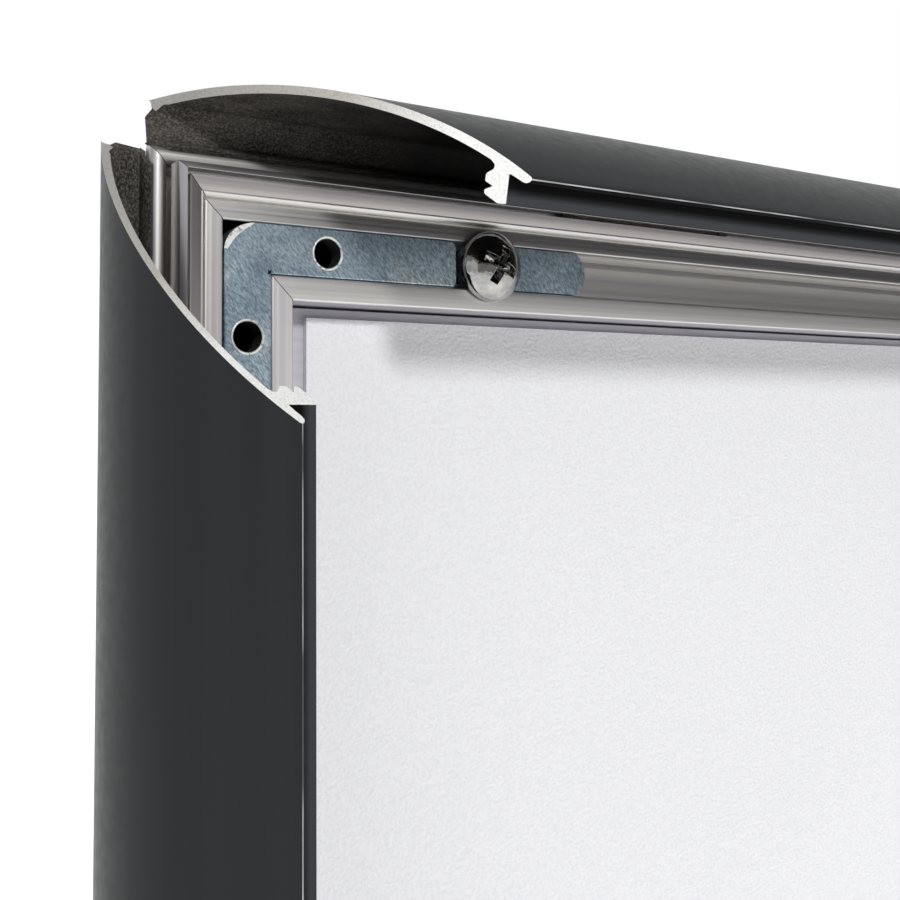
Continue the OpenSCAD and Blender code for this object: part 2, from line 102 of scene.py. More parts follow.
def arc(centre, radius, start, end, steps):
    """Points on an arc from start to end degrees, both ends included."""
    return [
        (
            centre[0] + radius * math.cos(math.radians(start + (end - start) * i / steps)),
            centre[1] + radius * math.sin(math.radians(start + (end - start) * i / steps)),
        )
        for i in range(steps + 1)
    ]


def circle(centre, radius, steps):
    """Points once round a circle."""
    return arc(centre, radius, 0, 360 * (1 - 1 / steps), steps - 1)


def rounded(points, steps=3):
    """A closed outline from (y, z, radius, tag): each corner with a radius becomes a small arc."""
    out = []
    count = len(points)
    for i, (y, z, r, tag) in enumerate(points):
        here = Vector((y, z))
        before = Vector(points[i - 1][:2]) - here
        after = Vector(points[(i + 1) % count][:2]) - here
        if not r or before.length < 1e-6 or after.length < 1e-6:
            out.append((y, z, tag))
            continue
        reach = min(r, before.length * 0.45, after.length * 0.45)
        a, b = here + before.normalized() * reach, here + after.normalized() * reach
        for k in range(steps + 1):
            t = k / steps
            p = a.lerp(here, t).lerp(here.lerp(b, t), t)
            out.append((p.x, p.y, tag))
    return out


def base_outline():
    """Section of the base extrusion: bead, ridge, spring groove, slope, channel, lip, flange."""
    room, bead_r, neck, neck_half = 2.15, 1.15, -62, 0.6
    at_room = math.degrees(math.asin(neck_half / room))
    at_bead = math.degrees(math.asin(neck_half / bead_r))
    ridge_meets = math.degrees(math.acos((2.4 - BEAD[0]) / room))
    wall_meets = math.degrees(math.acos((0.9 - BEAD[0]) / room))
    crest, groove_end, lip_foot = (3.2, 2.02), 3.74, (17.5, BACK_Z + 1)
    plain = [(0.9, BACK_Z, 0.3), (SIDE_W, BACK_Z, 0.25), (SIDE_W, BACK_Z + 1, 0.25)]
    plain += [(*lip_foot, 0.1), (17.5, -0.35, 0), (17.35, 0, 0.12), (14.72, 0.0, 0.1)]
    plain += [(14.5, -0.2, 0.08)]
    plain += [(14.5, -2.45, 0), (13.7, -2.45, 0), (13.7, -7.2, 0)]
    plain += [(9.2, -7.2, 0), (9.2, -2.45, 0), (8.4, -2.45, 0), (8.4, -0.2, 0.08)]
    plain += [(8.22, 0, 0.1), (6.3, -0.12, 0.15), (6.12, -0.22, 0.05), (5.98, 0.35, 0.08)]
    plain += [(5.75, 0.6, 0.05), (5.49, 0.79, 0.06), (5.36, 0.72, 0.03), (5.2, 0.78, 0.03)]
    plain += [(groove_end, 1.34, 0.1), (groove_end, 0, 0), (crest[0], 0, 0)]
    plain += [(*crest, 0.14), (2.4, 1.38, 0.16)]
    # The lip's inner wall takes the painted violet-grey shade
    loop = rounded([(*p, "lip_wall" if p[:2] == lip_foot else "plain") for p in plain])
    sweep = arc(BEAD, room, ridge_meets, neck + at_room, 14)
    sweep += arc(BEAD, bead_r, neck + at_bead, neck + 360 - at_bead, 28)
    sweep += arc(BEAD, room, neck - at_room, -wall_meets, 4)
    return loop + [(*p, "plain") for p in sweep]


COVER_NOSE, COVER_TIP = Vector((-1.31, 6.2)), Vector((30.7, 2.46))
COVER_WALL, COVER_BOW = 0.98, 5.18
HOOK_IN, HOOK_OUT = 1.22, 1.87
HOOK_SWEEP = (48, 135)
FLANGE_BELOW = (3.4, 2.6)


def cover_outline():
    """Section of the bowed cover about its bead, closed, as (y, z, tag), in the side's section."""
    chord = COVER_TIP - COVER_NOSE
    half, along = chord.length / 2, chord.normalized()
    bow_r = (half * half + COVER_BOW * COVER_BOW) / (2 * COVER_BOW)
    centre = (COVER_NOSE + COVER_TIP) / 2 - Vector((-along.y, along.x)) * (bow_r - COVER_BOW)
    tilt = math.degrees(math.atan2(along.x, -along.y))
    drop = bow_r - COVER_BOW
    outer_half = math.degrees(math.acos(drop / bow_r))
    inner_r = bow_r - COVER_WALL
    inner_half = math.degrees(math.acos(drop / inner_r))

    def inner_angle(u):
        return math.degrees(math.acos((u - centre.x) / inner_r))

    rib = [(28.95, 2.5, 0), (28.95, -0.84, 0.12), (28.25, -0.84, 0.12), (27.15, 0.05, 0.15)]
    rib += [(27.1, 0.5, 0.1), (27.75, 1.0, 0.15), (27.1, 1.45, 0.15), (27.1, 2.3, 0.2)]
    rib += [(27.7, 2.9, 0.2), (27.7, 3.4, 0)]
    loop = [(*p, "skin") for p in arc(centre, bow_r, tilt + outer_half, tilt - outer_half, 60)]
    loop += [(30.78, 2.27, "edge"), (30.76, 2.12, "lip"), (30.62, 1.86, "lip"), (30.38, 1.72, "lip")]
    loop += [(30.1, 1.78, "lip"), (29.7, 2.08, "lip"), (29.25, 2.38, "lip"), (29.05, 2.5, "lip")]
    loop += rounded([(*p, "rib") for p in rib])
    loop += [(*p, "inside") for p in arc(centre, inner_r, inner_angle(27.4), tilt + inner_half, 44)]
    nose = [(0.1, 5.98), (-0.03, 5.88), (-0.6, 5.1), (-0.66, 4.9), (-0.66, 1.95), (-0.6, 1.82)]
    loop += [(*p, "inside") for p in nose]
    loop += [(*p, "inside") for p in arc((0, 0), HOOK_OUT, 106, HOOK_SWEEP[0], 10)]
    loop += [(*p, "inside") for p in arc((0, 0), HOOK_IN, HOOK_SWEEP[0], HOOK_SWEEP[1], 12)]
    loop += [(*p, "skin") for p in arc((0, 0), HOOK_OUT, HOOK_SWEEP[1], 128.5, 3)]
    loop += [(-1.45, 4.0, "skin"), (-1.49, 4.28, "skin"), (-1.42, 4.44, "skin"), (-1.0, 5.22, "skin")]
    loop += [(-0.96, 5.34, "skin"), (-0.98, 5.48, "skin"), (-1.1, 6.05, "skin"), (-1.17, 6.15, "skin")]
    return [(y + BEAD[0], z + BEAD[1], tag) for y, z, tag in loop]


# ---------- node helpers ----------


def new_material(name, **sockets):
    """A material with a Principled BSDF; sockets are constants set on the shader itself."""
    mat = bpy.data.materials.new(name)
    mat.use_nodes = True
    shader = mat.node_tree.nodes["Principled BSDF"]
    for key, value in sockets.items():
        shader.inputs[key.replace("_", " ")].default_value = value
    return mat, mat.node_tree, shader


def coords(tree, scale, attribute=None):
    """A coordinate stretched by scale, from the object's own space or from a stored attribute."""
    if attribute:
        node = tree.nodes.new("ShaderNodeAttribute")
        node.attribute_name = attribute
        out = node.outputs["Vector"]
    else:
        out = tree.nodes.new("ShaderNodeTexCoord").outputs["Object"]
    mapping = tree.nodes.new("ShaderNodeMapping")
    mapping.inputs["Scale"].default_value = scale
    tree.links.new(out, mapping.inputs["Vector"])
    return mapping.outputs["Vector"]


def noise_tex(tree, vector, detail, roughness):
    """Noise over a coordinate that coords has already stretched."""
    node = tree.nodes.new("ShaderNodeTexNoise")
    node.inputs["Scale"].default_value = 1.0
    node.inputs["Detail"].default_value = detail
    node.inputs["Roughness"].default_value = roughness
    tree.links.new(vector, node.inputs["Vector"])
    return node.outputs["Fac"]


def ramp(tree, fac, stops):
    """A colour ramp through (position, colour) stops."""
    node = tree.nodes.new("ShaderNodeValToRGB")
    elements = node.color_ramp.elements
    while len(elements) < len(stops):
        elements.new(0.5)
    for element, (pos, colour) in zip(elements, stops):
        element.position = pos
        element.color = (*colour, 1)
    tree.links.new(fac, node.inputs["Fac"])
    return node.outputs["Color"]


def grey(value):
    """The neutral colour of a value."""
    return (value, value, value)


def feed(shader, **outputs):
    """Links each output to the shader's socket of that name."""
    for key, output in outputs.items():
        shader.id_data.links.new(output, shader.inputs[key.replace("_", " ")])


def math_node(tree, operation, *values):
    """A math node fed by numbers or outputs, in order."""
    node = tree.nodes.new("ShaderNodeMath")
    node.operation = operation
    for socket, value in zip(node.inputs, values):
        if isinstance(value, float):
            socket.default_value = value
        else:
            tree.links.new(value, socket)
    return node.outputs[0]


def bump(tree, height, strength, distance, after=None):
    """A bump normal, laid over an earlier one where after is given."""
    node = tree.nodes.new("ShaderNodeBump")
    node.inputs["Strength"].default_value = strength
    node.inputs["Distance"].default_value = distance
    tree.links.new(height, node.inputs["Height"])
    if after is not None:
        tree.links.new(after, node.inputs["Normal"])
    return node.outputs["Normal"]


def mixed(tree, fac, a, b, kind="MIX"):
    """Two colours blended by fac, each a constant or an output."""
    node = tree.nodes.new("ShaderNodeMix")
    node.data_type = "RGBA"
    node.blend_type = kind
    if isinstance(fac, float):
        node.inputs["Factor"].default_value = fac
    else:
        tree.links.new(fac, node.inputs["Factor"])
    for key, value in (("A", a), ("B", b)):
        socket = [s for s in node.inputs if s.name == key and s.type == "RGBA"][0]
        if isinstance(value, tuple):
            socket.default_value = (*value, 1)
        else:
            tree.links.new(value, socket)
    return [s for s in node.outputs if s.type == "RGBA"][0]


# ---------- materials ----------


def side_axes(tree):
    """The side coordinates of a point: X along the side, Y inward, Z out of the face."""
    split = tree.nodes.new("ShaderNodeSeparateXYZ")
    attribute = tree.nodes.new("ShaderNodeAttribute")
    attribute.attribute_name = "run"
    tree.links.new(attribute.outputs["Vector"], split.inputs["Vector"])
    return split.outputs


def end_distance(tree, along):
    """How far a point lies from the nearer end of its side."""
    span = tree.nodes.new("ShaderNodeAttribute")
    span.attribute_name = "span"
    middle = math_node(tree, "MULTIPLY", span.outputs["Fac"], 0.5)
    off_middle = math_node(tree, "ABSOLUTE", math_node(tree, "SUBTRACT", along, middle))
    return math_node(tree, "SUBTRACT", middle, off_middle)


def within(tree, value, centre, half):
    """1 where value lies less than half away from centre, else 0."""
    off = math_node(tree, "ABSOLUTE", math_node(tree, "SUBTRACT", value, centre))
    return math_node(tree, "LESS_THAN", off, half)


# Painted shade in the unlit pocket of the channel at each corner: reach along the side, then
# centre and half size across the side and out of the face
POCKET_REACH = 40.0 * MM
POCKET_ACROSS = (CHANNEL_MID * MM, 3.1 * MM)
POCKET_DEEP = (-4.1 * MM, 3.5 * MM)


def mill_aluminium():
    """Bare extruded aluminium: fine streaks, faint warm and violet bands, painted shade on the slope
    and in the corners, a painted lighter lip.
    """
    mat, tree, shader = new_material("mill_aluminium", Metallic=1.0)
    lines = noise_tex(tree, coords(tree, (1.2, 3600, 3600), attribute="run"), 3.0, 0.6)
    bands = noise_tex(tree, coords(tree, (1.5, 520, 520), attribute="run"), 2.0, 0.5)
    tints = [(0.3, (0.68, 0.655, 0.705)), (0.5, (0.83, 0.805, 0.765)), (0.7, (0.62, 0.6, 0.65))]
    tint = ramp(tree, bands, tints)
    streak = ramp(tree, lines, [(0.3, grey(0.88)), (0.7, grey(1.0))])
    axes = side_axes(tree)
    across = math_node(tree, "MULTIPLY", axes["Y"], 1 / (SIDE_W * MM))
    # Painted shade and light across the section: a dark violet band on the slope beside the groove,
    # and the lip and everything inward of it painted lighter than the rest
    rub_and_shade = [(0.11, grey(0.8)), (0.125, (0.5, 0.475, 0.49)), (0.16, (0.58, 0.555, 0.55))]
    rub_and_shade += [(0.175, grey(0.78)), (0.44, grey(0.78)), (0.47, grey(1.0))]
    graded_across = mixed(tree, 1.0, streak, ramp(tree, across, rub_and_shade), "MULTIPLY")
    clean = mixed(tree, 1.0, tint, graded_across, "MULTIPLY")
    # Painted shade: near black and rough in the channel's pocket near each end of the side
    near_end = math_node(tree, "LESS_THAN", end_distance(tree, axes["X"]), POCKET_REACH)
    low = math_node(tree, "MULTIPLY", near_end, within(tree, axes["Z"], *POCKET_DEEP))
    shade = math_node(tree, "MULTIPLY", low, within(tree, axes["Y"], *POCKET_ACROSS))
    feed(shader, Base_Color=mixed(tree, shade, clean, (0.012, 0.012, 0.013)))
    rough = ramp(tree, lines, [(0.3, grey(0.34)), (0.7, grey(0.46))])
    feed(shader, Roughness=mixed(tree, shade, rough, grey(0.8)))
    pits = noise_tex(tree, coords(tree, (1400, 2400, 2400), attribute="run"), 4.0, 0.7)
    fine = bump(tree, lines, 0.14, 0.00003)
    feed(shader, Normal=bump(tree, pits, 0.12, 0.00004, fine))
    return mat


def lip_wall():
    """Inner wall of the lip, matt, painted violet-grey as shade."""
    mat, tree, shader = new_material("lip_wall", Metallic=0.1, Roughness=0.6)
    lines = noise_tex(tree, coords(tree, (2, 1800, 1800), attribute="run"), 3.0, 0.6)
    stops = [(0.3, (0.34, 0.325, 0.37)), (0.7, (0.44, 0.425, 0.47))]
    feed(shader, Base_Color=ramp(tree, lines, stops))
    return mat


def cover_skin():
    """Satin charcoal coat with a faint orange peel and draw lines."""
    mat, tree, shader = new_material("cover_skin", Roughness=0.36, Specular_IOR_Level=0.4, IOR=1.16)
    broad = noise_tex(tree, coords(tree, (2, 130, 130), attribute="run"), 2.0, 0.5)
    stops = [(0.3, (0.019, 0.0205, 0.0215)), (0.7, (0.0255, 0.027, 0.028))]
    feed(shader, Base_Color=ramp(tree, broad, stops))
    peel = noise_tex(tree, coords(tree, (700, 700, 700), attribute="run"), 2.0, 0.5)
    feed(shader, Roughness=ramp(tree, peel, [(0.3, grey(0.32)), (0.7, grey(0.4))]))
    lines = noise_tex(tree, coords(tree, (3, 600, 600), attribute="run"), 2.0, 0.5)
    fine = bump(tree, lines, 0.1, 0.00004)
    feed(shader, Normal=bump(tree, peel, 0.05, 0.00006, fine))
    return mat


def cover_inside():
    """Thin overspray over bare metal: brown-black, with pale specks where the coat is starved,
    darkened by painted shade away from the cut ends.
    """
    mat, tree, shader = new_material("cover_inside", Roughness=0.6, Specular_IOR_Level=0.1)
    specks = noise_tex(tree, coords(tree, (3000, 4200, 4200), attribute="run"), 4.0, 0.7)
    clouds = noise_tex(tree, coords(tree, (110, 260, 260), attribute="run"), 3.0, 0.6)
    coat = ramp(tree, clouds, [(0.35, (0.012, 0.0105, 0.0098)), (0.7, (0.06, 0.054, 0.048))])
    dots = ramp(tree, specks, [(0.45, grey(0.0)), (0.72, (0.13, 0.12, 0.105))])
    # Painted shade: the coat darkens the farther it lies from the nearer cut end, deep under the cover
    inward = math_node(tree, "MULTIPLY", end_distance(tree, side_axes(tree)["X"]), 16.0)
    inward_shade = ramp(tree, inward, [(0.08, grey(1.0)), (0.6, grey(0.05))])
    starved = mixed(tree, 1.0, coat, dots, "SCREEN")
    feed(shader, Base_Color=mixed(tree, 1.0, starved, inward_shade, "MULTIPLY"))
    feed(shader, Normal=bump(tree, specks, 0.35, 0.00006))
    return mat


def cover_rib():
    """The same coat behind the lip, with a painted shadow: black in the crook under the lip, greyer
    toward the rib's foot.
    """
    mat, tree, shader = new_material("cover_rib", Roughness=0.55, Specular_IOR_Level=0.06)
    broad = noise_tex(tree, coords(tree, (3, 400, 400), attribute="run"), 2.0, 0.5)
    # Painted shadow of the lip: black high in the crook, the coat's grey lower down
    height = math_node(tree, "MULTIPLY_ADD", side_axes(tree)["Z"], 130.0, 0.5)
    lip_shadow = ramp(tree, height, [(0.12, grey(1.0)), (0.26, grey(0.04))])
    coat = ramp(tree, broad, [(0.3, (0.034, 0.036, 0.04)), (0.7, (0.042, 0.044, 0.049))])
    feed(shader, Base_Color=mixed(tree, 1.0, coat, lip_shadow, "MULTIPLY"))
    feed(shader, Normal=bump(tree, broad, 0.08, 0.00005))
    return mat


def worn_edge():
    """The very edge of the lip, rubbed through to bare metal."""
    mat, tree, shader = new_material("worn_edge", Metallic=0.9, Roughness=0.3)
    rub_and_shade = noise_tex(tree, coords(tree, (90, 900, 900), attribute="run"), 3.0, 0.6)
    stops = [(0.35, (0.12, 0.12, 0.125)), (0.6, (0.6, 0.6, 0.61))]
    feed(shader, Base_Color=ramp(tree, rub_and_shade, stops))
    return mat


def raw_cut():
    """Sawn aluminium at a mitre: pale, chattered by the blade, with dull specks."""
    mat, tree, shader = new_material("raw_cut", Metallic=0.25, Roughness=0.5)
    chatter = noise_tex(tree, coords(tree, (5200, 5200, 5200), attribute="run"), 4.0, 0.7)
    # Darker toward the hinge, pale toward the tip
    across = math_node(tree, "MULTIPLY", side_axes(tree)["Y"], 30.0)
    graded_across = [(0.1, (0.34, 0.33, 0.31)), (0.5, (0.5, 0.475, 0.43)), (0.78, (0.95, 0.95, 0.93))]
    darker_toward_hinge = ramp(tree, across, graded_across)
    sawn = ramp(tree, chatter, [(0.34, grey(0.66)), (0.48, grey(0.93)), (0.66, grey(1.0))])
    feed(shader, Base_Color=mixed(tree, 1.0, darker_toward_hinge, sawn, "MULTIPLY"))
    feed(shader, Normal=bump(tree, chatter, 0.5, 0.00008))
    return mat


def zinc_steel():
    """Blue zinc plate over rolled steel, crossed by diagonal tumbling scratches."""
    mat, tree, shader = new_material("zinc_steel", Metallic=0.9)
    turned = tree.nodes.new("ShaderNodeMapping")
    turned.inputs["Rotation"].default_value = (0, math.radians(-50), 0)
    tree.links.new(coords(tree, (1, 1, 1)), turned.inputs["Vector"])
    drawn = tree.nodes.new("ShaderNodeMapping")
    drawn.inputs["Scale"].default_value = (1500, 1500, 5200)
    tree.links.new(turned.outputs["Vector"], drawn.inputs["Vector"])
    scratch = noise_tex(tree, drawn.outputs["Vector"], 4.0, 0.7)
    cloud = noise_tex(tree, coords(tree, (170, 170, 170)), 3.0, 0.55)
    blues = [(0.3, (0.25, 0.33, 0.4)), (0.55, (0.37, 0.46, 0.53)), (0.75, (0.5, 0.57, 0.6))]
    base = ramp(tree, cloud, blues)
    marks = ramp(tree, scratch, [(0.38, grey(0.5)), (0.52, grey(1.0)), (0.66, grey(1.5))])
    feed(shader, Base_Color=mixed(tree, 1.0, base, marks, "MULTIPLY"))
    feed(shader, Roughness=ramp(tree, scratch, [(0.3, grey(0.5)), (0.7, grey(0.3))]))
    feed(shader, Normal=bump(tree, scratch, 0.45, 0.00006))
    return mat


def hole_shade():
    """The unlit wall of a small punched hole, painted near-black as shade."""
    mat, tree, shader = new_material("hole_shade", Roughness=0.8)
    shade_mottle = noise_tex(tree, coords(tree, (900, 900, 900)), 3.0, 0.6)
    stops = [(0.3, (0.004, 0.004, 0.005)), (0.7, (0.012, 0.013, 0.016))]
    feed(shader, Base_Color=ramp(tree, shade_mottle, stops))
    return mat


def sheared_edge():
    """Bright broken edge of the stamped bracket, pitted."""
    mat, tree, shader = new_material("sheared_edge", Metallic=0.5, Roughness=0.4)
    pits = noise_tex(tree, coords(tree, (1500, 1500, 1500)), 4.0, 0.7)
    stops = [(0.36, (0.2, 0.2, 0.19)), (0.45, (0.8, 0.8, 0.78)), (0.7, (0.97, 0.97, 0.95))]
    feed(shader, Base_Color=ramp(tree, pits, stops))
    feed(shader, Normal=bump(tree, pits, 0.5, 0.0001))
    return mat


def polished_screw():
    """Bright plated screw with soft tumbling marks."""
    mat, tree, shader = new_material("polished_screw", Metallic=1.0)
    cloud = noise_tex(tree, coords(tree, (500, 500, 500)), 3.0, 0.6)
    stops = [(0.3, (0.24, 0.245, 0.25)), (0.7, (0.45, 0.44, 0.41))]
    feed(shader, Base_Color=ramp(tree, cloud, stops))
    feed(shader, Roughness=ramp(tree, cloud, [(0.3, grey(0.06)), (0.7, grey(0.14))]))
    feed(shader, Normal=bump(tree, cloud, 0.3, 0.00025))
    return mat


def plated_nut():
    """Dull plated steel."""
    mat, tree, shader = new_material("plated_nut", Metallic=0.95)
    cloud = noise_tex(tree, coords(tree, (600, 600, 600)), 3.0, 0.6)
    stops = [(0.3, (0.45, 0.46, 0.48)), (0.7, (0.62, 0.63, 0.64))]
    feed(shader, Base_Color=ramp(tree, cloud, stops))
    feed(shader, Roughness=ramp(tree, cloud, [(0.3, grey(0.3)), (0.7, grey(0.45))]))
    return mat


def spring_steel():
    """Oil-blackened spring strip."""
    mat, tree, shader = new_material("spring_steel", Metallic=0.8)
    cloud = noise_tex(tree, coords(tree, (800, 800, 800)), 3.0, 0.6)
    stops = [(0.3, (0.03, 0.026, 0.024)), (0.7, (0.09, 0.075, 0.06))]
    feed(shader, Base_Color=ramp(tree, cloud, stops))
    feed(shader, Roughness=ramp(tree, cloud, [(0.3, grey(0.35)), (0.7, grey(0.55))]))
    return mat


def white_sheet():
    """White plastic sheet with a fine orange peel that breaks up the gloss."""
    mat, tree, shader = new_material("white_sheet", Roughness=0.32)
    cloud = noise_tex(tree, coords(tree, (9, 9, 9)), 2.0, 0.5)
    peel = noise_tex(tree, coords(tree, (2100, 2100, 2100)), 1.5, 0.55)
    broad = ramp(tree, cloud, [(0.3, (0.74, 0.74, 0.765)), (0.7, (0.77, 0.77, 0.795))])
    grain = ramp(tree, peel, [(0.36, grey(0.94)), (0.6, grey(1.0))])
    feed(shader, Base_Color=mixed(tree, 1.0, broad, grain, "MULTIPLY"))
    feed(shader, Normal=bump(tree, peel, 0.9, 0.0002))
    return mat


def back_board():
    """Grey board behind the sheet, faintly fibrous."""
    mat, tree, shader = new_material("back_board", Roughness=0.8)
    fibre = noise_tex(tree, coords(tree, (60, 60, 900)), 4.0, 0.6)
    stops = [(0.3, (0.42, 0.41, 0.45)), (0.7, (0.52, 0.51, 0.55))]
    feed(shader, Base_Color=ramp(tree, fibre, stops))
    feed(shader, Normal=bump(tree, fibre, 0.2, 0.0001))
    return mat


def leg_aluminium():
    """Satin drawn tube with lengthwise lines."""
    mat, tree, shader = new_material("leg_aluminium", Metallic=1.0)
    lines = noise_tex(tree, coords(tree, (1500, 900, 7)), 3.0, 0.6)
    stops = [(0.3, (0.55, 0.55, 0.56)), (0.7, (0.70, 0.70, 0.71))]
    feed(shader, Base_Color=ramp(tree, lines, stops))
    feed(shader, Roughness=ramp(tree, lines, [(0.3, grey(0.32)), (0.7, grey(0.45))]))
    feed(shader, Normal=bump(tree, lines, 0.25, 0.00005))
    return mat


def foot_rubber():
    """Moulded black rubber, spark-textured, dusty where it rubs."""
    mat, tree, shader = new_material("foot_rubber", Roughness=0.72)
    grain = noise_tex(tree, coords(tree, (1200, 1200, 1200)), 3.0, 0.6)
    dust = noise_tex(tree, coords(tree, (90, 90, 90)), 4.0, 0.65)
    stops = [(0.4, (0.014, 0.014, 0.014)), (0.8, (0.05, 0.048, 0.045))]
    feed(shader, Base_Color=ramp(tree, dust, stops))
    feed(shader, Normal=bump(tree, grain, 0.35, 0.0001))
    return mat


def black_steel():
    """Black powder coat with its fine pebble."""
    mat, tree, shader = new_material("black_steel", Roughness=0.45)
    pebble = noise_tex(tree, coords(tree, (1500, 1500, 1500)), 2.0, 0.5)
    stops = [(0.3, (0.018, 0.018, 0.019)), (0.7, (0.03, 0.03, 0.032))]
    feed(shader, Base_Color=ramp(tree, pebble, stops))
    feed(shader, Normal=bump(tree, pebble, 0.3, 0.00012))
    return mat


MATERIALS = {
    make.__name__: make()
    for make in (
        mill_aluminium,
        lip_wall,
        cover_skin,
        cover_inside,
        cover_rib,
        worn_edge,
        raw_cut,
        zinc_steel,
        hole_shade,
        sheared_edge,
        polished_screw,
        plated_nut,
        spring_steel,
        white_sheet,
        back_board,
        leg_aluminium,
        foot_rubber,
        black_steel,
    )
}

# ---------- making pieces ----------


def to_mesh(bm, name, materials=()):
    """Ends a bmesh as a mesh with its materials."""
    mesh = bpy.data.meshes.new(name)
    bm.to_mesh(mesh)
    bm.free()
    for material in materials:
        mesh.materials.append(MATERIALS[material])
    return mesh


def bridge(bm, a, b):
    """Joins two rings of points by a band of faces."""
    return [bm.faces.new(corners) for corners in zip(a, a[1:] + a[:1], b[1:] + b[:1], b)]


def add_piece(name, mesh, body, node, smooth_angle=35):
    """Links a finished mesh, shades it, rides it on its body and lets it stand for a CAD node."""
    obj = bpy.data.objects.new(name, mesh)
    bpy.context.scene.collection.objects.link(obj)
    for polygon in mesh.polygons:
        polygon.use_smooth = True
    mesh.set_sharp_from_angle(angle=math.radians(smooth_angle))
    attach(obj, body)
    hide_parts(node)


def mitred_mesh(name, outline, length, gap, place, looks, cap, inside_caps_below=None):
    """Runs an outline along a side with 45 degree ends. The run attribute keeps side coordinates.

    looks gives each tag of the outline its material. Ends take the one of the tag cap, or the
    inside's where they lie before inside_caps_below.
    """
    tags = list(looks)
    rings = [[], []]
    bm = bmesh.new()
    run = bm.verts.layers.float_vector.new("run")
    span = bm.verts.layers.float.new("span")
    for y, z, _tag in outline:
        for ring, x in zip(rings, (y + gap, length - y - gap)):
            at = Vector((x, y, z)) * MM
            vert = bm.verts.new(place @ at)
            vert[run] = at
            vert[span] = length * MM
            ring.append(vert)
    for face, (_y, _z, tag) in zip(bridge(bm, *rings), outline):
        face.material_index = tags.index(tag)
    flat = [Vector((y, z, 0)) for y, z, _tag in outline]
    for corners in tessellate_polygon([flat]):
        middle = sum((flat[c] for c in corners), Vector()) / 3
        # Caps of the flange and hook take the inside's brown-black
        inside_cap = inside_caps_below and middle.x < inside_caps_below[0] and middle.y < inside_caps_below[1]
        for ring in rings:
            face = bm.faces.new([ring[c] for c in corners])
            face.material_index = tags.index("inside" if inside_cap else cap)
    bmesh.ops.recalc_face_normals(bm, faces=bm.faces)
    return to_mesh(bm, name, looks.values())


BASE_GAP, COVER_GAP = 0.06, 0.3  # play at each mitre, in mm
BASE_LOOKS = {"plain": "mill_aluminium", "lip_wall": "lip_wall"}
COVER_LOOKS = {
    "skin": "cover_skin",
    "edge": "worn_edge",
    "lip": "cover_rib",
    "rib": "cover_rib",
    "inside": "cover_inside",
    "cut": "raw_cut",
}


def make_base_side(panel, side):
    node = f"{panel}_{side}_{'rail' if side in ('top', 'bottom') else 'stile'}"
    name = f"{node}_extrusion"
    length, place = side_length(panel, side), side_matrix(panel, side)
    mesh = mitred_mesh(name, base_outline(), length, BASE_GAP, place, BASE_LOOKS, "plain")
    add_piece(name, mesh, f"{panel}_panel", node)


def rest_opening(panel, side):
    """How far a cover stands open at rest: its joint's lower limit is shut."""
    return -math.radians(JOINTS[f"{panel}_{side}_cover_snap"]["range_deg"][0])


def make_cover(panel, side):
    hinge = Matrix.Translation(Vector((0, *BEAD)) * MM)
    turn = hinge @ Matrix.Rotation(rest_opening(panel, side), 4, "X") @ hinge.inverted()
    node = f"{panel}_{side}_cover"
    name = f"{node}_profile"
    length, place = side_length(panel, side), side_matrix(panel, side) @ turn
    outline = cover_outline()
    mesh = mitred_mesh(name, outline, length, COVER_GAP, place, COVER_LOOKS, "cut", FLANGE_BELOW)
    add_piece(name, mesh, node, node)


def dress(node, material, bevel=0.0, segments=2):
    """Gives a CAD node its material and softens its sharp edges."""
    obj = frame["nodes"][node]
    obj.data.materials.clear()
    obj.data.materials.append(MATERIALS[material])
    if bevel:
        mod = obj.modifiers.new("edge", "BEVEL")
        mod.width = bevel * MM
        mod.segments = segments
        mod.limit_method = "ANGLE"
        mod.angle_limit = math.radians(40)
        mod.harden_normals = True


# ---------- corner brackets, plates and screws ----------

BRACKET_TOP, BRACKET_T, BRACKET_PLAY = 0.15, 2.5, 0.08
BRACKET_ARM, BRACKET_W, BRACKET_R = 32.8, CHANNEL_W - 0.16, 4.0
BRACKET_HOLES = [(13.6, BRACKET_W / 2), (BRACKET_W / 2, 13.6)]
HOLE_R = 1.85


def bracket_outline():
    """The L seen from its face, counter-clockwise, each point with the width of its top bevel."""
    notch = 0.38
    w, end = BRACKET_W, BRACKET_ARM
    steps = 14
    corner = arc((BRACKET_R, BRACKET_R), BRACKET_R, 184, 266, steps)
    swell = [0.12 + 0.58 * math.sin(math.pi * k / steps) ** 0.6 for k in range(steps + 1)]
    points = [(x, y, bevel) for (x, y), bevel in zip(corner, swell)]
    points = [(0, BRACKET_R + 0.8, 0.12), *points, (BRACKET_R + 0.8, 0, 0.12)]
    points += [(end - 0.5, 0, 0.12), (end, 0.5, 0.12), (end, w - 0.5, 0.12), (end - 0.5, w, 0.12)]
    points += [(w + 0.05, w, 0.1), (w + 0.05, w - notch, 0.06), (w - notch, w - notch, 0.06)]
    points += [(w - notch, w + 0.05, 0.06), (w, w + 0.05, 0.1)]
    points += [(w, end - 0.5, 0.12), (w - 0.5, end, 0.12), (0.5, end, 0.12), (0, end - 0.5, 0.12)]
    return points


def inset(points):
    """Each point moved inward by its own third value."""
    out = []
    count = len(points)
    for i, (x, y, reach) in enumerate(points):
        a, b = Vector(points[i - 1][:2]), Vector(points[(i + 1) % count][:2])
        here = Vector((x, y))
        n = ((here - a).normalized() + (b - here).normalized()).normalized()
        out.append((x - n.y * reach, y + n.x * reach))
    return out


